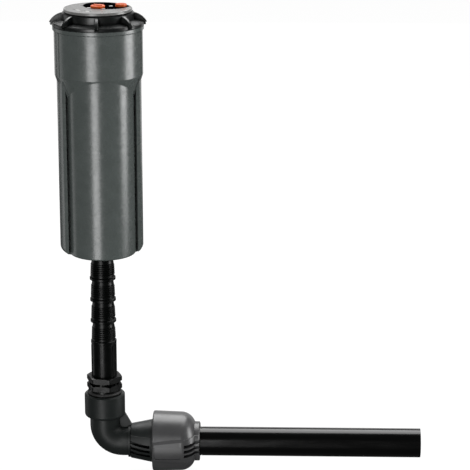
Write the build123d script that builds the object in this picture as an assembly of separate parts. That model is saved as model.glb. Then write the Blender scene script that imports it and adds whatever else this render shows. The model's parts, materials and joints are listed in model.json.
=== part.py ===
"""Irrigation elbow joint with its pop-up sprinkler, cut-to-length riser and supply pipe, in millimetres.

The assembly is modelled with the elbow's two axes crossing at (0, 0, 0): +Z runs up the riser and
the sprinkler, +X runs along the supply pipe.  Every node is then moved along X so that the frame's
origin is the centre of the pipe's open end.  One STEP file is written for each node.
"""
from build123d import *
from math import acos, cos, pi, radians, sin, tan
import os

# ---- driving dimensions -------------------------------------------------------------------------
PIPE_R = 12.5            # 25 mm polyethylene pipe
PIPE_WALL = 2.3
PIPE_START_X = 30.0      # pipe's inner end, against the elbow's stop
PIPE_END_X = 273.0       # pipe's open end
INSERTION_MARK_X = 83.5  # scribed ring that shows the pipe is fully home

LEG_R = 13.0             # elbow legs and bend, outside
BEND_R = 14.9            # bend radius at the centreline
WATER_R = 9.4            # water way through elbow and bend
SOCKET_R = 17.4          # G3/4 female socket, outside
SOCKET_Z = (23.6, 44.2)
SOCKET_BORE_R = 13.1     # G3/4 thread, taken as a plain bore
SOCKET_FLOOR_Z = 27.0

CONE_X = (22.8, 40.4)    # grip cone of the elbow
CONE_R = (15.1, 18.6)
CONE_CAVITY = (12.2, 14.4)    # annular hollow behind the cone's open left end
CONE_CAVITY_X = 29.0
FLANGE_X = (20.3, 22.2)
ELBOW_PAD_HALF = 10.7    # half width of each of the cone's two grip pads
ELBOW_PAD_TURN = 8.0     # the front pad's middle is this many degrees below -Y
ELBOW_PAD_RISE = 0.5
ELBOW_SLOT = (2.6, 4.5)  # width and pitch
ELBOW_SLOT_Z = (1.8, -0.4, -1.2)   # height of the middle slot at its start, middle and end
ELBOW_SLOT_FLOOR = 13.7
BARREL_X = (42.6, 60.0)  # threaded barrel inside the nut
BARREL_R = 22.4
SEAL_BORE_R = 16.6
SEAL_BORE_X = 50.0

NUT_X = (41.7, 82.1)
NUT_R = (26.2, 25.4)     # left rim, start of the rounded shoulder
NUT_SHOULDER_X = 65.6
NUT_COLLAR_R = 17.0
NUT_COLLAR_X = 77.6
NUT_THREAD_R = 22.8
NUT_PAD_TURN = 3.5
NUT_PAD_RISE = 0.8
NUT_PAD_FOOT = (23.0, 11.3)   # distance from the axis and half width, at the foot and top of its flanks
NUT_PAD_TOP = (28.0, 4.6)
NUT_PANEL = (22.6, 12.2)      # sunk panel in each pad, along X and across
NUT_SLOT = (2.6, 4.4)
NUT_SLOT_Z = (1.0, 1.4, 2.5)
NUT_SLOT_X = 69.4

HEX_FLATS = 27.0         # across flats, for a 27 mm spanner
HEX_TURN = -8.0          # one corner's direction, in degrees from +X
RIB_TURN = 22.0          # the six ribs stand over the middles of the flats
HEX_Z = ((48.6, 53.5), (55.5, 60.4))
EXT_THREAD_R = 12.9      # G3/4 male end
EXT_NECK_R = 11.9
EXT_TUBE_R = 10.75
EXT_BORE_R = 7.4
STEM_THREAD_R = (10.6, 10.1)  # tapered G1/2 male thread, foot and top of each length
STEM_NECK_R = 9.2        # cutting groove between two threaded lengths
STEM_NECK = 2.0
STEM_COLLAR_R = 11.0
SEGMENT_Z0 = 89.4        # foot of the lowest threaded length
SEGMENT_PITCH = 18.87
SEGMENT_COUNT = 5
STEM_TOP_Z = 184.3

CAN_Z = (172.9, 365.2)   # sprinkler housing
CAN_TURN = 10.0          # the housing's front lobe faces this many degrees round from -Y
LOBE_R = 27.9
LOBE_OFFSET = 8.5
CAN_WALL = 2.4
WING_R = 35.0            # curved side walls that stand clear of the lobes
WING_HALF = 15.6
WING_WALL = 2.0
GROOVE_DEPTH = 3.2       # from a wing's front edge to the web behind it
GROOVE_TOP = (2.6, 3.0)  # width of a groove where it runs up the ramp, and its end below the ramp's top
WEB_WALL = 2.0
WING_RIB_HALF = 3.0
RIDGE_WIDTH = 1.3
RIDGE_RISE = 0.5
UPPER_R = 37.1
PANEL_R = 36.6
RIM_R = 37.7
RIM_Z = 361.4
RAMP_Z = (306.8, 324.8)
CAN_BORE_R = 34.4
BOSS_R = 14.5
BOSS_Z = 192.0
INLET_BORE_R = 10.5
CAVITY_Z = 176.4

CAP_SKIRT_R = 34.1
CAP_FLANGE_R = 37.9
CAP_NECK_R = 29.6
CAP_BORE_R = 21.6
CAP_TOP_Z = 376.2
FLANGE_Z = 365.4
LUG_COUNT = 8
LUG_TURN = 3.0
LUG_WIDTH = 3.1

RISER_R = 21.0
RISER_BORE_R = 19.0
RISER_Z = (210.0, 337.0)
FOOT_Z = (206.0, 214.0)
SPRING_WIRE_R = 0.9
SPRING_R = 23.2
SPRING_Z = (215.1, 348.4)
SPRING_TURNS = 12

TURRET_R = 20.6
TURRET_Z = (338.0, 374.0)
DISC_R = 28.2
DISC_Z = (376.6, 379.2)
PLATE_R = 19.7
PLATE_CENTRE = (6.4, 11.6)
SCREW_CENTRE = (18.5, 7.2)
NOZZLE_TURN = -62.0      # direction of the jet, from +X
NOZZLE_RISE = 25.0

MODULE = 0.6
PRESSURE = radians(25)
ADDENDUM = 0.8 * MODULE
DEDENDUM = 1.1 * MODULE
BACKLASH = 0.10          # taken off each tooth's width at the pitch circle
PINION_TEETH = 10
WHEEL_TEETH = 22
RING_TEETH = 42
SHAFT_OFFSET = MODULE * (PINION_TEETH + WHEEL_TEETH) / 2
PIN_R = 1.0
RUNNING = 0.05           # radial clearance of a plain bearing
FAR = 200.0              # longer than anything that is cut with it

ROW_SHIFT = Pos(-PIPE_END_X, 0, 0)
os.makedirs("parts", exist_ok=True)


# ---- helpers ------------------------------------------------------------------------------------
def rod(radius, z0, z1):
    """Solid cylinder on the Z axis."""
    return Pos(0, 0, z0) * Cylinder(radius, z1 - z0, align=(Align.CENTER, Align.CENTER, Align.MIN))


def tube(outer, inner, z0, z1):
    """Hollow cylinder on the Z axis."""
    return rod(outer, z0, z1) - rod(inner, z0 - 1, z1 + 1)


def along_x(shape):
    """Turns a shape modelled on +Z to lie on +X."""
    return Rot(0, 90, 0) * shape


def turned(points):
    """Solid of revolution about Z from a closed outline of (radius, height) points."""
    return revolve(Plane.XZ * make_face(Polyline(*points, close=True)), Axis.Z)


def slab(half_width, z0, z1):
    """Block across X, centred on the XZ plane, of the given half width in Y."""
    return Pos(0, 0, (z0 + z1) / 2) * Box(FAR, 2 * half_width, z1 - z0)


def stadium(radius, z0, z1):
    """Two-lobed column: circles of the given radius at +-LOBE_OFFSET on Y, and what is between them."""
    outline = Rot(0, 0, 90) * SlotCenterToCenter(2 * LOBE_OFFSET, 2 * radius)
    return Pos(0, 0, z0) * extrude(outline, z1 - z0)


def o_ring(ring_r, wire_r, z):
    """O-ring of the given mean radius, lying flat at height z."""
    return Pos(0, 0, z) * Torus(ring_r, wire_r)


def gear_face(teeth, addendum, dedendum, thinning):
    """Involute spur gear outline with one tooth centred on +X."""
    pitch_r = MODULE * teeth / 2
    base_r = pitch_r * cos(PRESSURE)
    root_r = pitch_r - dedendum
    start_r = max(root_r, base_r)
    tip_r = pitch_r + addendum
    half_tooth = (pi * MODULE / 2 - thinning) / 2 / pitch_r
    steps = 4
    flank = []
    for i in range(steps + 1):
        r = start_r + (tip_r - start_r) * i / steps
        angle = acos(base_r / r)
        flank.append((r, half_tooth + tan(PRESSURE) - PRESSURE - tan(angle) + angle))
    if root_r < start_r:
        flank.insert(0, (root_r, flank[0][1]))
    points = []
    for tooth in range(teeth):
        centre = 2 * pi * tooth / teeth
        rising = [(r, centre - a) for r, a in flank]
        falling = [(r, centre + a) for r, a in reversed(flank)]
        points += [(r * cos(a), r * sin(a)) for r, a in rising + falling]
    return make_face(Polyline(*points, close=True))


def blades(count, inner, outer, z0, z1, lean, thickness=0.9):
    """Ring of flat blades between two radii, each leaning from the axis by lean degrees."""
    height = (z1 - z0) / cos(radians(lean)) + 2
    blade = Box(outer - inner + 1.0, thickness, height)
    ring = Part()
    for i in range(count):
        middle = Pos((outer + inner) / 2, 0, (z0 + z1) / 2) * Rot(lean, 0, 0)
        ring += Rot(0, 0, 360 * i / count) * middle * blade
    return ring & tube(outer + 0.4, inner - 0.4, z0, z1)


def save(node, shape):
    """Writes one node, moved into the row's frame."""
    moved = ROW_SHIFT * shape
    moved.label = node
    export_step(moved, f"parts/{node}.step")


# ---- pipe and elbow -----------------------------------------------------------------------------
def supply_pipe():
    """25 mm pipe with a shallow scribed ring where it leaves the nut."""
    body = tube(PIPE_R, PIPE_R - PIPE_WALL, PIPE_START_X, PIPE_END_X)
    mark = tube(PIPE_R + 1, PIPE_R - 0.35, INSERTION_MARK_X, INSERTION_MARK_X + 0.6)
    return along_x(body - mark)


def curved_slots(x0, x1, size, heights, floor):
    """Three slots side by side along X, cut into the side that faces -Y down to a floor."""
    width, pitch = size
    start, bend, end = heights
    x_middle = (x0 + x1) / 2
    slots = Part()
    for step in (-1, 0, 1):
        low = step * pitch - width / 2
        band = make_face([
            ThreePointArc((x0, low + start), (x_middle, low + bend), (x1, low + end)),
            Line((x1, low + end), (x1, low + width + end)),
            ThreePointArc((x1, low + width + end), (x_middle, low + width + bend),
                          (x0, low + width + start)),
            Line((x0, low + width + start), (x0, low + start)),
        ])
        slots += Pos(0, -floor, 0) * extrude(Plane.XZ * band, FAR)
    return slots


def elbow_grip():
    """Grip cone of the elbow: hollow at its left end, with two raised pads, each cut by three slots."""
    cone = turned([(0, CONE_X[0]), (CONE_R[0], CONE_X[0]), (CONE_R[1], CONE_X[1]), (0, CONE_X[1])])
    pads = turned([(0, CONE_X[0]), (CONE_R[0] + ELBOW_PAD_RISE, CONE_X[0]),
                   (CONE_R[1] + ELBOW_PAD_RISE, CONE_X[1]), (0, CONE_X[1])])
    pad_slab = slab(FAR / 2, -ELBOW_PAD_HALF, ELBOW_PAD_HALF)
    body = along_x(cone) + (along_x(pads) & (Rot(ELBOW_PAD_TURN, 0, 0) * pad_slab))
    slots = curved_slots(CONE_X[0] - 0.5, CONE_X[1] - 0.8, ELBOW_SLOT, ELBOW_SLOT_Z, ELBOW_SLOT_FLOOR)
    for side in (0, 180):
        body -= Rot(side + ELBOW_PAD_TURN, 0, 0) * slots
    return body - along_x(tube(CONE_CAVITY[1], CONE_CAVITY[0], CONE_X[0] - 1, CONE_CAVITY_X))


def elbow_body():
    """Elbow: G3/4 female socket up, compression barrel along +X, with a gusset in the inner corner."""
    bend_path = Plane.XZ * CenterArc((BEND_R, BEND_R), BEND_R, 180, 90)
    start = Plane(origin=bend_path @ 0, x_dir=(0, 1, 0), z_dir=bend_path % 0)
    socket = rod(SOCKET_R, *SOCKET_Z)
    socket = chamfer(socket.edges().sort_by(Axis.Z)[-1], 1.1)
    socket = fillet(socket.edges().sort_by(Axis.Z)[0], 2.6)
    body = socket + rod(LEG_R, BEND_R, SOCKET_Z[0] + 1)
    body += sweep(start * Circle(LEG_R), path=bend_path)
    body += along_x(rod(LEG_R, BEND_R, FLANGE_X[1]) + rod(14.4, *FLANGE_X))
    body += along_x(rod(CONE_CAVITY[0] + 0.2, BEND_R, CONE_CAVITY_X))
    body += elbow_grip()
    body += along_x(rod(CONE_R[1] - 0.4, CONE_X[1] - 1, BARREL_X[0] + 1) + rod(BARREL_R, *BARREL_X))
    gusset_outline = Polyline((9, 9), (9, SOCKET_Z[0] + 2), (SOCKET_R, SOCKET_Z[0] + 2),
                              (CONE_X[0] + 0.4, CONE_R[0]), (CONE_X[0] + 0.4, 9), close=True)
    body += extrude(Plane.XZ * make_face(gusset_outline), 1.6, both=True)
    water = rod(WATER_R, BEND_R, SOCKET_FLOOR_Z + 1) + sweep(start * Circle(WATER_R), path=bend_path)
    water += along_x(rod(WATER_R, BEND_R, PIPE_START_X))
    water += rod(SOCKET_BORE_R, SOCKET_FLOOR_Z, SOCKET_Z[1] + 1)
    water += along_x(rod(PIPE_R + 0.15, PIPE_START_X - 0.2, BARREL_X[1] + 1))
    water += along_x(rod(SEAL_BORE_R, SEAL_BORE_X, BARREL_X[1] + 1))
    return body - water


def nut_shell(rise):
    """Outside of the nut, or of its pads when raised: taper, rounded shoulder and collar."""
    rim, shoulder, collar = NUT_R[0] + rise, NUT_R[1] + rise, NUT_COLLAR_R + rise
    outline = Plane.XZ * make_face([
        Line((0, NUT_X[0] + rise), (rim - 0.9, NUT_X[0] + rise)),
        Line((rim - 0.9, NUT_X[0] + rise), (rim, NUT_X[0] + 0.9 + rise)),
        Line((rim, NUT_X[0] + 0.9 + rise), (shoulder, NUT_SHOULDER_X)),
        ThreePointArc((shoulder, NUT_SHOULDER_X), (21.9 + rise, 74.4 + rise), (collar, NUT_COLLAR_X + rise)),
        Line((collar, NUT_COLLAR_X + rise), (collar, NUT_X[1] - 0.5)),
        Line((collar, NUT_X[1] - 0.5), (collar - 0.5, NUT_X[1])),
        Line((collar - 0.5, NUT_X[1]), (0, NUT_X[1])),
        Line((0, NUT_X[1]), (0, NUT_X[0] + rise)),
    ])
    return along_x(revolve(outline, Axis.Z))


def nut_pad():
    """What one pad may fill: a long prism on the -Y side with flared flanks."""
    foot_y, foot_half = NUT_PAD_FOOT
    top_y, top_half = NUT_PAD_TOP
    outline = Polyline((0, -foot_half), (-foot_y, -foot_half), (-top_y, -top_half), (-top_y, top_half),
                       (-foot_y, foot_half), (0, foot_half), close=True)
    return extrude(Plane.YZ * make_face(outline), FAR)


def nut_pad_cuts():
    """What is cut from one pad: its sunk panel, and three slots through shoulder and collar."""
    middle_x = (NUT_X[0] + NUT_SHOULDER_X) / 2 + 1.4
    panel = extrude(Plane.XZ * Pos(middle_x, 0) * RectangleRounded(*NUT_PANEL, 2.0), FAR)
    floor = turned([(0, 30), (NUT_R[0] + 0.6, 30), (NUT_R[1] + 0.1, 75), (0, 75)])
    slots = curved_slots(NUT_SLOT_X, NUT_X[1] + 1, NUT_SLOT, NUT_SLOT_Z, PIPE_R)
    slot_floor = turned([(0, 60), (22.2, 62), (15.6, 78), (14.9, 84), (0, 84)])
    return panel - along_x(floor) + (slots - along_x(slot_floor))


def compression_nut():
    """Clamping nut: tapered shell with rounded shoulder, two grip pads and a collar at the pipe."""
    body = nut_shell(0)
    for side in (0, 180):
        body += nut_shell(NUT_PAD_RISE) & (Rot(side + NUT_PAD_TURN, 0, 0) * nut_pad())
    for side in (0, 180):
        body -= Rot(side + NUT_PAD_TURN, 0, 0) * nut_pad_cuts()
    inside = turned([(0, NUT_X[0] - 1), (NUT_THREAD_R + 0.8, NUT_X[0] - 1),
                     (NUT_THREAD_R, NUT_X[0] + 1.2), (NUT_THREAD_R, 61.0), (20.4, 62.6), (20.4, 63.2),
                     (14.2, 78.0), (PIPE_R + 0.4, 78.0), (PIPE_R + 0.4, NUT_X[1] + 1),
                     (0, NUT_X[1] + 1)])
    return body - along_x(inside)


def pipe_o_ring():
    """Seal between the pipe and the elbow's barrel."""
    return along_x(o_ring((PIPE_R + SEAL_BORE_R) / 2, (SEAL_BORE_R - PIPE_R) / 2 - 0.03, 52.2))


def thrust_ring():
    """Stepped sleeve that presses the pipe seal home."""
    ring = tube(SEAL_BORE_R - 0.2, PIPE_R + 0.2, 54.4, 60.5) + tube(19.4, PIPE_R + 0.2, 60.5, 62.9)
    return along_x(ring)


def grip_ring():
    """Split cone with inner teeth that hold the pipe."""
    tooth_count = 5
    tooth_pitch = 2.3
    teeth_x0 = 64.0
    outline = [(19.6, 63.1), (19.6, 63.9), (14.1, 76.6), (PIPE_R + 0.9, 76.6)]
    for i in reversed(range(tooth_count)):
        x = teeth_x0 + i * tooth_pitch
        outline += [(PIPE_R + 0.9, x + tooth_pitch - 0.2), (PIPE_R + 0.08, x + 0.3),
                    (PIPE_R + 0.9, x + 0.1)]
    outline += [(PIPE_R + 0.9, 63.1)]
    split = Pos(70, 0, 16) * Box(20, 3.0, 14)
    return along_x(turned(outline)) - Rot(35, 0, 0) * split


# ---- cut-to-length riser ------------------------------------------------------------------------
def stem_length(foot, top, thread_r):
    """One threaded length between two cutting grooves: a collar at its foot, then a tapered thread."""
    return turned([(0, foot), (STEM_NECK_R, foot), (STEM_COLLAR_R, foot + 0.9), (STEM_COLLAR_R, foot + 2.8),
                   (thread_r[0], foot + 3.6), (thread_r[1], top - 0.9), (STEM_NECK_R, top), (0, top)])


def extension_riser():
    """Riser nipple: G3/4 end, double hexagon, ribbed tube, then threaded lengths to cut between."""
    body = rod(EXT_THREAD_R, SOCKET_FLOOR_Z + 1, SOCKET_Z[1] - 0.4)
    body += rod(EXT_NECK_R, SOCKET_Z[1] - 0.5, HEX_Z[1][0] + 0.5)
    body += rod(13.9, SOCKET_Z[1] + 2.8, HEX_Z[0][0] + 0.1)
    for z0, z1 in HEX_Z:
        blank = extrude(RegularPolygon(HEX_FLATS / 2, 6, major_radius=False), z1 - z0)
        bevel = turned([(0, z0), (13.9, z0), (15.5, z0 + 0.8), (15.5, z1 - 0.8), (13.9, z1), (0, z1)])
        body += Pos(0, 0, z0) * Rot(0, 0, HEX_TURN) * blank & bevel
    web = Pos(12.5, 0, (HEX_Z[0][1] + HEX_Z[1][0]) / 2) * Box(1.8, 1.3, HEX_Z[1][0] - HEX_Z[0][1] + 0.4)
    rib = Pos(EXT_TUBE_R - 0.3, 0, (HEX_Z[1][1] + SEGMENT_Z0) / 2)
    rib *= Box(1.6, 1.0, SEGMENT_Z0 - HEX_Z[1][1] - 0.6)
    body += rod(EXT_TUBE_R, HEX_Z[1][1] - 0.5, SEGMENT_Z0 + 0.6)
    for i in range(6):
        body += Rot(0, 0, RIB_TURN + 60 * i) * web + Rot(0, 0, RIB_TURN + 60 * i) * rib
    for i in range(SEGMENT_COUNT - 1):
        foot = SEGMENT_Z0 + i * SEGMENT_PITCH
        body += stem_length(foot, foot + SEGMENT_PITCH - STEM_NECK, STEM_THREAD_R)
        body += rod(STEM_NECK_R, foot + SEGMENT_PITCH - STEM_NECK - 0.1, foot + SEGMENT_PITCH + 0.1)
    last_foot = SEGMENT_Z0 + (SEGMENT_COUNT - 1) * SEGMENT_PITCH
    body += stem_length(last_foot, STEM_TOP_Z, (10.3, 10.3))
    return body - rod(EXT_BORE_R, 0, FAR)


def socket_seal():
    """O-ring between the elbow's socket and the hexagon."""
    return o_ring(EXT_NECK_R + 1.4, 1.38, SOCKET_Z[1] + 1.4)


def inlet_seal():
    """Flat washer that the riser's top end is screwed against."""
    return tube(INLET_BORE_R - 0.1, EXT_BORE_R, STEM_TOP_Z + 0.05, STEM_TOP_Z + 1.8)


# ---- sprinkler housing and cap ------------------------------------------------------------------
def round_foot(radius, z0, z1, foot_fillet):
    """Solid cylinder with a rounded lower edge."""
    return fillet(rod(radius, z0, z1).edges().sort_by(Axis.Z)[0], foot_fillet)


def housing_shape():
    """Outside of the housing, before it is hollowed out."""
    z0, z1 = CAN_Z[0], RAMP_Z[1] + 1
    lobes = fillet(stadium(LOBE_R, z0, z1).edges().group_by(Axis.Z)[0], 1.5)
    wing_blank = round_foot(WING_R, z0, z1, 5.5)
    wings = (wing_blank - rod(WING_R - WING_WALL, z0 - 1, z1)) & slab(WING_HALF, z0 - 1, z1)
    web_half = WING_HALF - GROOVE_DEPTH
    webs = slab(web_half, z0 - 1, z1) - slab(web_half - WEB_WALL, z0 - 1, z1)
    wings += wing_blank & (webs + slab(WING_RIB_HALF, z0 - 1, z1))
    ridge_zone = slab(WING_HALF, z0 - 1, CAN_Z[1]) - slab(WING_HALF - RIDGE_WIDTH, z0 - 1, CAN_Z[1])
    ridge_blank = round_foot(WING_R + RIDGE_RISE, z0 + 0.1, z1, 5.5) - rod(WING_R - WING_WALL, z0 - 1, z1)
    wings += ridge_blank & ridge_zone
    ramp = turned([(0, RAMP_Z[0]), (PANEL_R - 5.8, RAMP_Z[0]), (PANEL_R, RAMP_Z[1] - 0.4),
                   (PANEL_R, RAMP_Z[1] + 0.2), (0, RAMP_Z[1] + 0.2)])
    groove_z = (RAMP_Z[0] - 1, RAMP_Z[1] - GROOVE_TOP[1])
    groove_tops = slab(WING_HALF + GROOVE_TOP[0], *groove_z) - slab(WING_HALF, *groove_z)
    ramp -= groove_tops - stadium(LOBE_R, *groove_z)
    upper = rod(PANEL_R, RAMP_Z[1], RIM_Z)
    upper += (rod(UPPER_R, RAMP_Z[1], RIM_Z) - slab(WING_HALF - 0.4, RAMP_Z[1] - 1, RIM_Z + 1))
    upper += rod(UPPER_R + RIDGE_RISE, RAMP_Z[1], RIM_Z) & ridge_zone
    rim = turned([(0, RIM_Z), (RIM_R - 0.7, RIM_Z), (RIM_R, RIM_Z + 0.7), (RIM_R, CAN_Z[1] - 0.4),
                  (RIM_R - 0.4, CAN_Z[1]), (0, CAN_Z[1])])
    return lobes + wings + ramp + upper + rim


def housing():
    """Moulded can: two-lobed below, round above, with an inlet boss in its floor."""
    body = housing_shape()
    body -= stadium(LOBE_R - CAN_WALL, CAVITY_Z, RAMP_Z[1] + 5)
    body -= rod(CAN_BORE_R, RAMP_Z[1] + 3, CAN_Z[1] + 1)
    body += rod(BOSS_R, CAN_Z[0] + 0.5, BOSS_Z)
    body -= rod(INLET_BORE_R, CAN_Z[0] - 1, 186.4)
    body -= rod(8.0, 186, BOSS_Z + 1)
    return Rot(0, 0, CAN_TURN) * body


def cap_lug():
    """One arched finger lug of the cap, in the XZ plane."""
    outline = Plane.XZ * make_face([
        Line((28.6, 366.5), (28.6, 375.8)),
        ThreePointArc((28.6, 375.8), (36.0, 372.6), (40.1, 367.9)),
        Line((40.1, 367.9), (38.7, 366.9)),
        Line((38.7, 366.9), (39.4, 366.4)),
        Line((39.4, 366.4), (39.2, 365.5)),
        Line((39.2, 365.5), (36.5, 365.5)),
        Line((36.5, 365.5), (36.5, 366.5)),
        Line((36.5, 366.5), (28.6, 366.5)),
    ])
    lug = extrude(outline, LUG_WIDTH / 2, both=True)
    crest = lug.faces().filter_by(GeomType.CYLINDER)[0]
    return fillet(crest.edges().filter_by(GeomType.CIRCLE), 0.9)


def screw_cap():
    """Cap that screws into the housing and guides the riser, with eight finger lugs."""
    body = turned([(CAP_BORE_R, 352), (24, 352), (24, 367.2), (31.4, 367.2), (31.4, 345),
                   (CAP_SKIRT_R, 345), (CAP_SKIRT_R, 360), (33.0, 360), (33.0, 362.8),
                   (CAP_SKIRT_R, 362.8), (CAP_SKIRT_R, FLANGE_Z), (CAP_FLANGE_R, FLANGE_Z),
                   (CAP_FLANGE_R, 367.7), (37.3, 368.3), (CAP_NECK_R, 369.9), (CAP_NECK_R, 375.4),
                   (29.0, CAP_TOP_Z), (22.9, CAP_TOP_Z), (22.9, 372.5), (CAP_BORE_R, 372.5)])
    for i in range(LUG_COUNT):
        body += Rot(0, 0, LUG_TURN + 360 * i / LUG_COUNT) * cap_lug()
    return body - turned([(25.5, 368.4), (27.4, 368.4), (27.4, 374.6), (25.5, 374.6)])


def cap_o_ring():
    """Seal between the cap's skirt and the housing."""
    return o_ring(33.65, 0.62, 361.4)


def wiper_seal():
    """Lip seal that wipes the riser as it drops."""
    lip_r = RISER_R + 0.3
    return turned([(22.8, 372.6), (22.8, 375.9), (22.0, 375.9), (lip_r, 375.2), (lip_r, 374.6),
                   (22.0, 373.6), (22.0, 372.6)])


# ---- pop-up riser -------------------------------------------------------------------------------
def spring_seat():
    """Guide washer between the cap and the spring."""
    return tube(26.6, CAP_BORE_R, 349.4, 351.8)


def retraction_spring():
    """Coil that pulls the riser back down."""
    height = SPRING_Z[1] - SPRING_Z[0]
    path = Pos(0, 0, SPRING_Z[0]) * Helix(height / SPRING_TURNS, height, SPRING_R)
    section = Plane(origin=path @ 0, z_dir=path % 0) * Circle(SPRING_WIRE_R)
    return sweep(section, path=path, is_frenet=True)


def riser_tube():
    """Sliding tube, with an inward bearing flange at its top."""
    body = tube(RISER_R, RISER_BORE_R, *RISER_Z)
    return body + tube(RISER_BORE_R + 0.5, 8.4, RISER_Z[1] - 3, RISER_Z[1])


def riser_foot():
    """Two-lobed foot that carries the spring and keeps the riser from turning."""
    body = Rot(0, 0, CAN_TURN) * stadium(LOBE_R - CAN_WALL - 0.5, *FOOT_Z)
    body -= rod(RISER_R + 0.05, RISER_Z[0], FOOT_Z[1] + 1)
    return body - rod(17.5, FOOT_Z[0] - 1, RISER_Z[0] + 1)


def inlet_filter():
    """Slotted basket that stands up inside the riser."""
    body = tube(17.3, 13.6, 206.4, 209.4) + tube(15.3, 13.6, 209.0, 240) + rod(15.3, 240, 241.5)
    slot = Pos(14.5, 0, 224.5) * Box(4, 2.6, 27)
    for i in range(12):
        body -= Rot(0, 0, 30 * i) * slot
    return body


def turbine_stator():
    """Guide vanes that set the water spinning, with a hub for the rotor's pin."""
    body = tube(RISER_BORE_R - 0.1, 15.4, 292, 297.5) + tube(4.5, PIN_R, 292, 297.5)
    return body + blades(8, 4.2, 15.8, 292, 297.5, -38)


def turbine_rotor():
    """Turbine wheel with its pinion."""
    body = rod(4.0, 299, 307) + rod(2.2, 307, 311.2) + tube(14.4, 13.6, 299, 307)
    body += blades(10, 3.7, 13.9, 299, 307, 40)
    pinion = extrude(gear_face(PINION_TEETH, ADDENDUM, DEDENDUM, BACKLASH), 4.2)
    body += Pos(0, 0, 311) * pinion
    return body - rod(PIN_R + RUNNING, 290, 320)


def rotor_pin():
    """Steel pin that the turbine turns on."""
    return rod(PIN_R, 292.5, 316.2)


def gearbox_plate():
    """Plate above the turbine that holds the layshaft pin and lets the water past."""
    body = rod(RISER_BORE_R - 0.1, 308.4, 310.4) - rod(2.6, 300, 320)
    body -= Pos(SHAFT_OFFSET, 0, 0) * rod(PIN_R, 300, 320)
    for i in range(1, 8):
        body -= Rot(0, 0, 45 * i) * Pos(13.2, 0, 0) * rod(3.4, 300, 320)
    return body


def layshaft_pin():
    """Steel pin that the compound gear turns on."""
    return Pos(SHAFT_OFFSET, 0, 0) * rod(PIN_R, 308.4, 320.1)


def compound_gear():
    """Wheel driven by the turbine's pinion, with the pinion that drives the ring gear."""
    wheel = extrude(gear_face(WHEEL_TEETH, ADDENDUM, DEDENDUM, BACKLASH), 3.6)
    pinion = extrude(gear_face(PINION_TEETH, ADDENDUM, DEDENDUM, BACKLASH), 5.3)
    body = Pos(0, 0, 311.2) * Rot(0, 0, 180 / WHEEL_TEETH) * wheel + Pos(0, 0, 314.7) * pinion
    return Pos(SHAFT_OFFSET, 0, 0) * (body - rod(PIN_R + RUNNING, 300, 330))


def drive_cup():
    """Cup with the internal ring gear, and the hollow stem that turns the turret."""
    body = rod(15.6, 315.8, 322.6) + rod(8.0, 322, 341)
    gap = gear_face(RING_TEETH, DEDENDUM, ADDENDUM, -BACKLASH)
    body -= Pos(0, 0, 315) * extrude(gap, 5.5)
    return body - rod(5.0, 315, 345)


# ---- turret -------------------------------------------------------------------------------------
def turret_seal():
    """Low-friction washer between the riser and the turret."""
    return tube(18.8, 13.0, RISER_Z[1] + 0.1, TURRET_Z[0] - 0.1)


def nozzle_place():
    """Plane at the nozzle's outlet: normal along the jet."""
    turn, rise = radians(NOZZLE_TURN), radians(NOZZLE_RISE)
    way = Vector(cos(turn) * cos(rise), sin(turn) * cos(rise), sin(rise))
    outlet = Vector(cos(turn) * TURRET_R, sin(turn) * TURRET_R, 361.5)
    return Plane(origin=outlet, z_dir=way)


def turret_body():
    """Rotating cup that holds the nozzle."""
    body = rod(TURRET_R, *TURRET_Z) - rod(17.6, TURRET_Z[0] + 3, TURRET_Z[1] + 1)
    body -= rod(8.05, TURRET_Z[0] - 1, TURRET_Z[0] + 4)
    boss = nozzle_place() * Pos(0, 0, -8) * Cylinder(7.0, 14)
    body += boss & rod(TURRET_R - 0.5, 345, 373)
    return body - nozzle_place() * Pos(0, 0, -4) * Cylinder(5.05, 30)


def nozzle():
    """Nozzle pressed into the turret, with a tapered bore."""
    place = nozzle_place()
    body = place * Pos(0, 0, -6) * Cylinder(5.0, 14) & rod(TURRET_R - 0.2, 345, 373)
    body -= place * Pos(0, 0, -6) * Cylinder(1.9, 40)
    return body - place * Pos(0, 0, -10.5) * Cone(4.2, 1.9, 6)


def turret_cover():
    """Disc that closes the turret and stands over the cap, with a recess for the dial plate."""
    disc = rod(DISC_R, *DISC_Z)
    disc = fillet(disc.edges().sort_by(Axis.Z)[-1], 0.7)
    disc = chamfer(disc.edges().sort_by(Axis.Z)[0], 0.4)
    body = disc + rod(TURRET_R, TURRET_Z[1] + 0.05, DISC_Z[0]) + tube(17.5, 15.0, 369, TURRET_Z[1] + 1)
    body -= plate_shape(0.0)
    body -= rod(3.2, 360, 390)
    return body - Pos(*SCREW_CENTRE, 0) * rod(2.2, DISC_Z[0] + 0.3, 390)


def plate_shape(gap):
    """Round dial plate cut off at the cover's edge, smaller all round by gap."""
    z0, z1 = DISC_Z[1] - 0.8 + gap / 2, DISC_Z[1] + 0.0
    plate = Pos(*PLATE_CENTRE, 0) * rod(PLATE_R - gap, z0, z1 + (1 if gap == 0 else -0.1))
    return plate & rod(DISC_R - 1.5 - gap, z0 - 1, z1 + 1)


def dial_plate():
    """Black scale plate let into the cover."""
    body = plate_shape(0.08) - rod(3.3, 370, 390)
    return body - Pos(*SCREW_CENTRE, 0) * rod(2.3, 370, 390)


def sector_dial():
    """Dial at the middle of the cover that sets the watered sector, with a raised pointer."""
    head = chamfer(rod(6.0, 379.2, 381.2).edges().sort_by(Axis.Z)[-1], 0.5)
    pointer = Polyline((-4.2, -1.3), (2.0, -1.3), (4.8, 0), (2.0, 1.3), (-4.2, 1.3), close=True)
    body = head + Pos(0, 0, 381.1) * extrude(make_face(pointer), 0.7)
    return Rot(0, 0, -35) * body + rod(3.1, 368, 379.3)


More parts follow.
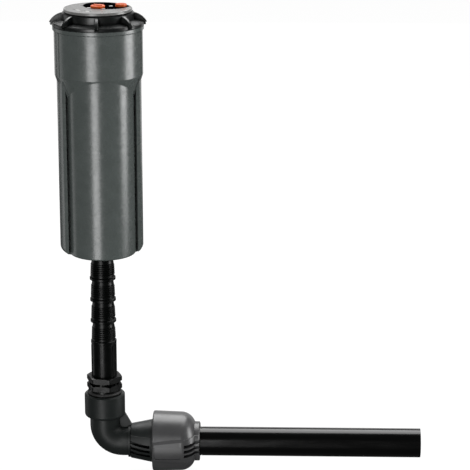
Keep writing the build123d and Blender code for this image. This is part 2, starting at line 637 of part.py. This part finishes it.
def range_screw():
    """Slotted screw that sets how far the jet throws."""
    head = chamfer(rod(4.7, 379.2, 381.4).edges().sort_by(Axis.Z)[-1], 0.4)
    head -= Pos(0, 0, 381.4) * Rot(0, 0, 25) * Box(12, 1.4, 2.0)
    return Pos(*SCREW_CENTRE, 0) * (head + rod(2.1, DISC_Z[0] + 0.4, 379.3))


NODES = [
    supply_pipe, elbow_body, compression_nut, pipe_o_ring, thrust_ring, grip_ring,
    extension_riser, socket_seal, inlet_seal,
    housing, screw_cap, cap_o_ring, wiper_seal,
    spring_seat, retraction_spring, riser_tube, riser_foot, inlet_filter,
    turbine_stator, turbine_rotor, rotor_pin, gearbox_plate, layshaft_pin, compound_gear, drive_cup,
    turret_seal, turret_body, nozzle, turret_cover, dial_plate, sector_dial, range_screw,
]

for make in NODES:
    save(make.__name__, make())
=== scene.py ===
"""Looks of the irrigation elbow assembly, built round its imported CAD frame. Lengths are in metres."""
import json
from math import ceil, cos, pi, radians, sin, tau

import bmesh
import bpy
from mathutils import Matrix, Vector

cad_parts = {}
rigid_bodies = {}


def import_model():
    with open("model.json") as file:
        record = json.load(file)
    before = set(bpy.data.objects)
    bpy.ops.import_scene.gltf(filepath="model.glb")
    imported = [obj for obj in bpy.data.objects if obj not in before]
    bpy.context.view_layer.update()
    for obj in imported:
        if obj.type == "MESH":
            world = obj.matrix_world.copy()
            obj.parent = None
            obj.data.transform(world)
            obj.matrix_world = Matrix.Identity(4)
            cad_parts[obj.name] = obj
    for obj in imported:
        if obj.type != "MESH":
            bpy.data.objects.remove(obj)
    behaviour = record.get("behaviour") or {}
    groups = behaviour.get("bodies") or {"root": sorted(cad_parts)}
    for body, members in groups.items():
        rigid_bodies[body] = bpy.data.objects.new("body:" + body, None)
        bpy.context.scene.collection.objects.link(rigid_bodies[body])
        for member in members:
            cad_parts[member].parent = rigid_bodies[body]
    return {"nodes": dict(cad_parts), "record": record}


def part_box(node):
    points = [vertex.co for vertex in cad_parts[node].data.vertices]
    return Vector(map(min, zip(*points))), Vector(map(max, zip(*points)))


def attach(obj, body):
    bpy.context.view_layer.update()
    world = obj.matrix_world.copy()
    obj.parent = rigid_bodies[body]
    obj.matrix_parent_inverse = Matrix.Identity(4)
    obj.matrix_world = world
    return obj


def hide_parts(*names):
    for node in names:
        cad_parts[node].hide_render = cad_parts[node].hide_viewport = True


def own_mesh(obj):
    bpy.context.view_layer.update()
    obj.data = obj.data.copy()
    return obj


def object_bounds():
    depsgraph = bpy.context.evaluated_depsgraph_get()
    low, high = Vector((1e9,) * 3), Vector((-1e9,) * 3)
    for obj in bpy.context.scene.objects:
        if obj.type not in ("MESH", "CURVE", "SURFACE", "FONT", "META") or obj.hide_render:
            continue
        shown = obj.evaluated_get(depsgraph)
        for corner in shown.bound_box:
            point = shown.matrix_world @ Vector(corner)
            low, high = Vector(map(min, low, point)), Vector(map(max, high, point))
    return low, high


for leftover in list(bpy.data.objects):
    bpy.data.objects.remove(leftover)
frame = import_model()
cad_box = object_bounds()
nodes = frame["nodes"]
MM = 0.001


def middle(node):
    """Centre of a node's box at rest."""
    low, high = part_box(node)
    return (low + high) / 2


AXIS = Vector((middle("turret_cover").x, middle("turret_cover").y, 0))  # the riser's axis

# ---- camera, lights, floor ----------------------------------------------------------------------
CAMERA_AZIMUTH = 1.468       # degrees round from -Y towards +X
CAMERA_ELEVATION = 15.907
CAMERA_DISTANCE = 1.7497
CAMERA_LENS = 158.8          # on the standard 36 mm sensor
CAMERA_AIM = AXIS + Vector((0.11257, 0, 0.18619))
SOFTBOX_AIM_X = 0.05         # from the riser's axis
WORLD_STRENGTH = 0.06
FLOOR_GAP = 0.0005
FLOOR_HALF = 9.0
FLOOR_DIFFUSE = 0.05
FLOOR_GLOW = 0.97


def direction(azimuth, elevation):
    """Unit vector towards an azimuth, measured from -Y towards +X, and an elevation, in degrees."""
    a, e = radians(azimuth), radians(elevation)
    return Vector((sin(a) * cos(e), -cos(a) * cos(e), sin(e)))


def look_at(obj, place, aim):
    """Puts obj at place with its -Z axis towards aim."""
    obj.location = place
    obj.rotation_euler = (aim - place).to_track_quat("-Z", "Y").to_euler()


def add_camera():
    data = bpy.data.cameras.new("camera")
    data.lens = CAMERA_LENS
    data.clip_end = 50
    camera = bpy.data.objects.new("camera", data)
    bpy.context.scene.collection.objects.link(camera)
    look_at(camera, CAMERA_AIM + CAMERA_DISTANCE * direction(CAMERA_AZIMUTH, CAMERA_ELEVATION),
            CAMERA_AIM)
    bpy.context.scene.camera = camera


def add_softbox(name, azimuth, elevation, distance, width, height, radiance, aim_z=0.2):
    """Rectangular area light of even radiance that faces a point near the sprinkler's axis."""
    data = bpy.data.lights.new(name, "AREA")
    data.shape = "RECTANGLE"
    data.size = width
    data.size_y = height
    data.energy = radiance * pi * width * height
    light = bpy.data.objects.new(name, data)
    bpy.context.scene.collection.objects.link(light)
    aim = AXIS + Vector((SOFTBOX_AIM_X, 0, aim_z))
    look_at(light, aim + distance * direction(azimuth, elevation), aim)
    light.visible_camera = False


def add_floor():
    """Plain pale floor that is seen but neither mirrored in the plastics nor in the lights' way."""
    low = cad_box[0].z - FLOOR_GAP
    mesh = bpy.data.meshes.new("floor")
    corners = [(-FLOOR_HALF, -FLOOR_HALF, low), (FLOOR_HALF, -FLOOR_HALF, low),
               (FLOOR_HALF, FLOOR_HALF, low), (-FLOOR_HALF, FLOOR_HALF, low)]
    mesh.from_pydata(corners, [], [(0, 1, 2, 3)])
    floor = bpy.data.objects.new("floor", mesh)
    bpy.context.scene.collection.objects.link(floor)
    material = bpy.data.materials.new("floor_white")
    material.use_nodes = True
    tree = material.node_tree
    tree.nodes.clear()
    diffuse = tree.nodes.new("ShaderNodeBsdfDiffuse")
    diffuse.inputs["Color"].default_value = (FLOOR_DIFFUSE, FLOOR_DIFFUSE, FLOOR_DIFFUSE, 1)
    glow = tree.nodes.new("ShaderNodeEmission")
    glow.inputs["Color"].default_value = (1, 1, 1, 1)
    glow.inputs["Strength"].default_value = FLOOR_GLOW
    add = tree.nodes.new("ShaderNodeAddShader")
    output = tree.nodes.new("ShaderNodeOutputMaterial")
    tree.links.new(diffuse.outputs[0], add.inputs[0])
    tree.links.new(glow.outputs[0], add.inputs[1])
    tree.links.new(add.outputs[0], output.inputs["Surface"])
    mesh.materials.append(material)
    floor.visible_glossy = False
    floor.visible_diffuse = False
    floor.visible_shadow = False


def set_world():
    world = bpy.data.worlds.new("studio")
    world.use_nodes = True
    background = world.node_tree.nodes["Background"]
    background.inputs["Color"].default_value = (1, 1, 1, 1)
    background.inputs["Strength"].default_value = WORLD_STRENGTH
    bpy.context.scene.world = world


bpy.context.scene.view_settings.view_transform = "Standard"
add_camera()
set_world()
add_softbox("key_left", -15, -2, 1.9, 0.72, 2.0, 8.6)
add_softbox("rim_right", 90, 6, 1.7, 0.80, 1.4, 9.6, aim_z=0.3)
add_softbox("fill_left", -115, 0, 1.8, 0.9, 1.8, 0.9)
add_softbox("wall_behind", 180, 4, 2.2, 3.2, 1.4, 0.7)
add_softbox("top_back", 180, 60, 1.6, 1.7, 1.35, 7.0, aim_z=0.1)
add_floor()


# ---- materials ----------------------------------------------------------------------------------
class Surface:
    """A Principled material with object-space coordinates, built up by small steps."""

    def __init__(self, name, **sockets):
        self.material = bpy.data.materials.new(name)
        self.material.use_nodes = True
        self.nodes = self.material.node_tree.nodes
        self.links = self.material.node_tree.links
        self.shader = self.nodes["Principled BSDF"]
        for socket, value in sockets.items():
            self.shader.inputs[socket.replace("_", " ")].default_value = value
        self.place = self.nodes.new("ShaderNodeTexCoord").outputs["Object"]
        self.height = None

    def stretched(self, stretch):
        mapping = self.nodes.new("ShaderNodeMapping")
        mapping.inputs["Scale"].default_value = stretch
        self.links.new(self.place, mapping.inputs["Vector"])
        return mapping.outputs["Vector"]

    def noise(self, grain, stretch=(1, 1, 1), detail=3.0, roughness=0.55):
        """Noise whose blobs are about grain metres across, drawn out along axes with a small stretch."""
        node = self.nodes.new("ShaderNodeTexNoise")
        node.inputs["Scale"].default_value = 1 / grain
        node.inputs["Detail"].default_value = detail
        node.inputs["Roughness"].default_value = roughness
        self.links.new(self.stretched(stretch), node.inputs["Vector"])
        return node.outputs["Fac"]

    def remap(self, value, low, high, spread=0.22):
        """Takes a value from the range 0.5 - spread..0.5 + spread, where noise mostly lies, to low..high."""
        node = self.nodes.new("ShaderNodeMapRange")
        node.inputs["From Min"].default_value = 0.5 - spread
        node.inputs["From Max"].default_value = 0.5 + spread
        node.inputs["To Min"].default_value = low
        node.inputs["To Max"].default_value = high
        self.links.new(value, node.inputs["Value"])
        return node.outputs["Result"]

    def colour(self, value, dark, light):
        """Base colour that runs from dark to light with value."""
        ramp = self.nodes.new("ShaderNodeValToRGB")
        ramp.color_ramp.elements[0].position = 0.30
        ramp.color_ramp.elements[1].position = 0.70
        ramp.color_ramp.elements[0].color = (*dark, 1)
        ramp.color_ramp.elements[1].color = (*light, 1)
        self.links.new(value, ramp.inputs["Fac"])
        self.links.new(ramp.outputs["Color"], self.shader.inputs["Base Color"])

    def paint_crevice_shade(self, reach, darkest):
        """Paints shade into colour and sheen in slots and corners narrower than about reach metres: ambient
        occlusion stands in for the shade that falls there.
        """
        occlusion = self.nodes.new("ShaderNodeAmbientOcclusion")
        occlusion.samples = 8
        occlusion.inputs["Distance"].default_value = reach
        # painted shade: occlusion scales the base colour and the specular level down in corners
        openness = self.remap(occlusion.outputs["AO"], darkest, 1, spread=0.32)
        scaled = self.nodes.new("ShaderNodeVectorMath")
        scaled.operation = "SCALE"
        colour = self.shader.inputs["Base Color"].links[0].from_socket
        self.links.new(colour, scaled.inputs[0])
        self.links.new(openness, scaled.inputs["Scale"])
        self.links.new(scaled.outputs[0], self.shader.inputs["Base Color"])
        sheen = self.nodes.new("ShaderNodeMath")
        sheen.operation = "MULTIPLY"
        sheen.inputs[1].default_value = self.shader.inputs["Specular IOR Level"].default_value
        self.links.new(openness, sheen.inputs[0])
        self.links.new(sheen.outputs[0], self.shader.inputs["Specular IOR Level"])

    def rough(self, value, low, high):
        self.links.new(self.remap(value, low, high), self.shader.inputs["Roughness"])

    def bump(self, value, depth, strength=1.0):
        """Adds a relief of about depth metres on top of those already there."""
        node = self.nodes.new("ShaderNodeBump")
        node.inputs["Distance"].default_value = depth
        node.inputs["Strength"].default_value = strength
        self.links.new(value, node.inputs["Height"])
        if self.height is not None:
            self.links.new(self.height, node.inputs["Normal"])
        self.height = node.outputs["Normal"]
        self.links.new(self.height, self.shader.inputs["Normal"])


def shade(colour, factor):
    return tuple(min(1.0, c * factor) for c in colour)


def moulded(name, colour, rough, grain=0.45 * MM, relief=0.012 * MM, mottle=0.06, **more):
    """Injection-moulded plastic: faint mottling, uneven gloss, a fine grain and painted shade in its
    crevices.
    """
    surface = Surface(name, **more)
    surface.colour(surface.noise(9 * MM, detail=4), shade(colour, 1 - mottle), shade(colour, 1 + mottle))
    surface.rough(surface.noise(6 * MM, detail=5), rough - 0.05, rough + 0.06)
    surface.bump(surface.noise(grain, detail=2), relief)
    surface.bump(surface.noise(14 * MM, detail=1), 0.05 * MM, 0.5)
    # painted shade: slots and corners get darker colour and weaker sheen from ambient occlusion
    surface.paint_crevice_shade(4 * MM, 0.12)
    return surface.material


def turned_metal(name, colour, rough, stretch):
    """Drawn or ground steel with fine streaks along its length."""
    surface = Surface(name, Metallic=1.0)
    streaks = surface.noise(0.5 * MM, stretch, detail=3)
    surface.colour(streaks, shade(colour, 0.82), shade(colour, 1.08))
    surface.rough(streaks, rough - 0.06, rough + 0.10)
    surface.bump(streaks, 0.006 * MM)
    return surface.material


def pipe_plastic(name):
    """Extruded polyethylene: waxy black with draw lines along the pipe and faint scuffs."""
    surface = Surface(name, Specular_IOR_Level=0.30)
    lines = surface.noise(0.7 * MM, (0.02, 1, 1), detail=3)
    surface.colour(surface.noise(12 * MM, (0.3, 1, 1)), (0.0008, 0.0009, 0.0009), (0.0013, 0.0014, 0.0014))
    surface.rough(surface.noise(3 * MM, (0.08, 1, 1), detail=5), 0.14, 0.21)
    surface.bump(lines, 0.010 * MM)
    surface.bump(surface.noise(40 * MM, (0.5, 1, 1), detail=1), 0.18 * MM, 0.35)
    return surface.material


def rubber(name):
    surface = Surface(name, Specular_IOR_Level=0.3)
    surface.colour(surface.noise(2 * MM), (0.009, 0.009, 0.009), (0.018, 0.018, 0.018))
    surface.rough(surface.noise(1 * MM), 0.55, 0.75)
    surface.bump(surface.noise(0.2 * MM), 0.01 * MM)
    return surface.material


def acetal(name):
    surface = Surface(name, Subsurface_Weight=0.12, Subsurface_Scale=0.6 * MM)
    surface.colour(surface.noise(5 * MM), (0.70, 0.69, 0.64), (0.78, 0.77, 0.73))
    surface.rough(surface.noise(2 * MM), 0.30, 0.42)
    surface.bump(surface.noise(0.3 * MM), 0.006 * MM)
    return surface.material


PALETTE = {
    "housing_grey": moulded("housing_grey", (0.058, 0.067, 0.064), 0.26, relief=0.0015 * MM),
    "nut_grey": moulded("nut_grey", (0.041, 0.041, 0.042), 0.34, relief=0.003 * MM),
    "disc_grey": moulded("disc_grey", (0.112, 0.112, 0.109), 0.30, relief=0.004 * MM, mottle=0.04),
    "elbow_black": moulded("elbow_black", (0.0085, 0.0102, 0.0098), 0.44, Specular_IOR_Level=0.20),
    "riser_black": moulded("riser_black", (0.0010, 0.0013, 0.0012), 0.30, relief=0.006 * MM,
                           Specular_IOR_Level=0.14),
    "cap_black": moulded("cap_black", (0.0042, 0.0050, 0.0048), 0.30, relief=0.003 * MM,
                         Specular_IOR_Level=0.32),
    "plate_black": moulded("plate_black", (0.0012, 0.0012, 0.0014), 0.60, relief=0.004 * MM,
                           Specular_IOR_Level=0.0),
    "dial_orange": moulded("dial_orange", (0.58, 0.085, 0.006), 0.34, Subsurface_Weight=0.05,
                           Subsurface_Scale=0.5 * MM, Specular_IOR_Level=0.35),
    "inner_black": moulded("inner_black", (0.008, 0.008, 0.0085), 0.34, relief=0.006 * MM),
    "nozzle_grey": moulded("nozzle_grey", (0.12, 0.12, 0.12), 0.36),
    "inner_grey": moulded("inner_grey", (0.20, 0.20, 0.20), 0.42),
    "acetal_white": acetal("acetal_white"),
    "spring_steel": turned_metal("spring_steel", (0.55, 0.55, 0.56), 0.30, (1, 1, 1)),
    "pin_steel": turned_metal("pin_steel", (0.60, 0.60, 0.61), 0.24, (1, 1, 0.03)),
    "pipe_black": pipe_plastic("pipe_black"),
    "seal_rubber": rubber("seal_rubber"),
}
PRINT_WHITE = moulded("print_white", (0.80, 0.80, 0.78), 0.45, relief=0.004 * MM, mottle=0.03)
# painted shadow: black for the bars that stand for the dark shade round the cover's white mark
PAINTED_SHADOW_BLACK = moulded("painted_shadow_black", (0.010, 0.010, 0.010), 0.45, relief=0.004 * MM)

slot_of = {s["node"]: s["material_slot"] for s in frame["record"]["subparts"]}
for node_name, node in nodes.items():
    for material_slot in node.material_slots:
        material_slot.material = PALETTE[slot_of[node_name]]


# ---- new pieces ---------------------------------------------------------------------------------
def add_piece(name, mesh, material, body, smooth=True):
    """Links a mesh as a piece that moves with a CAD body."""
    piece = bpy.data.objects.new(name, mesh)
    bpy.context.scene.collection.objects.link(piece)
    mesh.materials.clear()
    mesh.materials.append(material)
    mesh.polygons.foreach_set("use_smooth", [smooth] * len(mesh.polygons))
    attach(piece, body)
    return piece


THREAD_PITCH = 1.814 * MM
THREAD_DEPTH = 0.65 * MM
THREAD_CREST = (10.05 * MM, 10.65 * MM)  # range of the crest radius along the tapered lengths
RIDGE_HALF = (0.84 * MM, 0.30 * MM)  # half widths of a thread ridge at its root and at its crest
RIDGE_STEPS = 48                     # sections per turn
RIDGE_SINK = 0.1 * MM                # depth of a ridge's foot below the thread's root
RIDGE_FADE = 3                       # a ridge grows to full height in one third of a turn
RIDGE_TIP = 0.02                     # share of the full height that is left at a ridge's ends
RUN_IN = 0.35 * THREAD_PITCH         # plain length before a ridge starts
LEAST_TURNS = 5                      # a shorter run of rings isn't a threaded length
RING_SLACK = 0.01 * MM


def thread_zones(mesh):
    """Threaded lengths of the riser: lowest and highest height, and the crest radius at each."""
    rings = {}
    for vertex in mesh.vertices:
        height = round(vertex.co.z, 5)
        rings[height] = max((vertex.co - AXIS).xy.length, rings.get(height, 0))
    zones = []
    run = []
    for height in sorted(rings) + [None]:
        if height is not None and THREAD_CREST[0] < rings[height] < THREAD_CREST[1]:
            run.append(height)
            continue
        if run and run[-1] - run[0] > LEAST_TURNS * THREAD_PITCH:
            zones.append((run[0], run[-1], rings[run[0]], rings[run[-1]]))
        run = []
    return zones


def add_ridge(bm, foot, top, foot_r, top_r):
    """Right-handed helical ridge on one threaded length, sunk into the root at both ends."""
    turns = (top - foot - 2 * RUN_IN) / THREAD_PITCH
    steps = ceil(turns * RIDGE_STEPS)
    previous = None
    for step in range(steps + 1):
        turn = turns * step / steps
        z = foot + RUN_IN + turn * THREAD_PITCH
        crest = foot_r + (top_r - foot_r) * (z - foot) / (top - foot)
        rise = THREAD_DEPTH * min(1, RIDGE_FADE * min(turn, turns - turn) + RIDGE_TIP)
        root = crest - THREAD_DEPTH - RIDGE_SINK
        section = [(root, -RIDGE_HALF[0]), (root + rise, -RIDGE_HALF[1]),
                   (root + rise, RIDGE_HALF[1]), (root, RIDGE_HALF[0])]
        angle = tau * turn
        ring = [bm.verts.new(AXIS + Vector((r * cos(angle), r * sin(angle), z + dz))) for r, dz in section]
        if previous:
            for i in range(4):
                j = (i + 1) % 4
                bm.faces.new((previous[i], previous[j], ring[j], ring[i]))
        else:
            bm.faces.new(reversed(ring))
        previous = ring
    bm.faces.new(previous)


def make_threaded_riser():
    """The riser nipple with real thread ridges; outside them it keeps the shape of its CAD node."""
    bm = bmesh.new()
    bm.from_mesh(nodes["extension_riser"].data)
    bmesh.ops.remove_doubles(bm, verts=bm.verts, dist=0.001 * MM)
    zones = thread_zones(nodes["extension_riser"].data)
    for vertex in bm.verts:
        flat = (vertex.co - AXIS) * Vector((1, 1, 0))
        in_zone = any(foot - RING_SLACK < vertex.co.z < top + RING_SLACK for foot, top, _, _ in zones)
        if in_zone and flat.length > THREAD_CREST[0] - RING_SLACK:
            vertex.co -= flat.normalized() * THREAD_DEPTH
    for zone in zones:
        add_ridge(bm, *zone)
    mesh = bpy.data.meshes.new("threaded_riser")
    bm.to_mesh(mesh)
    bm.free()
    if "custom_normal" in mesh.attributes:
        mesh.attributes.remove(mesh.attributes["custom_normal"])
    piece = add_piece("threaded_riser", mesh, PALETTE["riser_black"], "root")
    mesh.set_sharp_from_angle(angle=radians(32))
    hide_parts("extension_riser")


PRINT_THICKNESS = 0.08 * MM


def add_bar(bm, place, size, turn, z):
    """Thin raised bar lying on the cover, at a place given from the riser's axis."""
    matrix = Matrix.Translation(AXIS + Vector((place[0] * MM, place[1] * MM, z)))
    matrix @= Matrix.Rotation(radians(turn), 4, "Z")
    matrix @= Matrix.Diagonal((size[0] * MM, size[1] * MM, 2 * PRINT_THICKNESS, 1))
    bmesh.ops.create_cube(bm, size=1, matrix=matrix)


def add_marks(name, bars, z, material):
    """A set of thin bars, used for printed marks and for painted shadows, each a place, a size and a turn in
    millimetres and degrees.
    """
    bm = bmesh.new()
    for place, size, turn in bars:
        add_bar(bm, place, size, turn, z)
    mesh = bpy.data.meshes.new(name)
    bm.to_mesh(mesh)
    bm.free()
    add_piece(name, mesh, material, "turret", smooth=False)


def make_prints():
    """Plain raised bars in place of the printed scales, and black bars on the cover as painted shadows
    beside its white marks.
    """
    plate_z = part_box("dial_plate")[1].z
    cover_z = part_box("turret_cover")[1].z
    add_marks("plate_marks", [((-7.2, 0.5), (3.2, 1.5), 12), ((9.9, 9.0), (3.2, 1.6), 28),
                              ((4.4, -4.8), (3.8, 1.6), -8)], plate_z, PRINT_WHITE)
    add_marks("cover_marks_white", [((-15.0, -12.9), (4.0, 1.3), -38), ((-6.5, -19.0), (3.0, 0.9), -16)],
              cover_z, PRINT_WHITE)
    # painted shadow: black bars beside the white marks, where the shade lies round them
    add_marks("cover_painted_shadows", [((-18.7, -9.0), (3.4, 1.0), -58), ((-11.3, -16.6), (1.6, 0.7), -30)],
              cover_z, PAINTED_SHADOW_BLACK)


def compress_spring():
    """Gives the retraction spring a mesh of its own; its shape stays as in the CAD node."""
    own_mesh(nodes["retraction_spring"])


make_threaded_riser()
make_prints()
compress_spring()
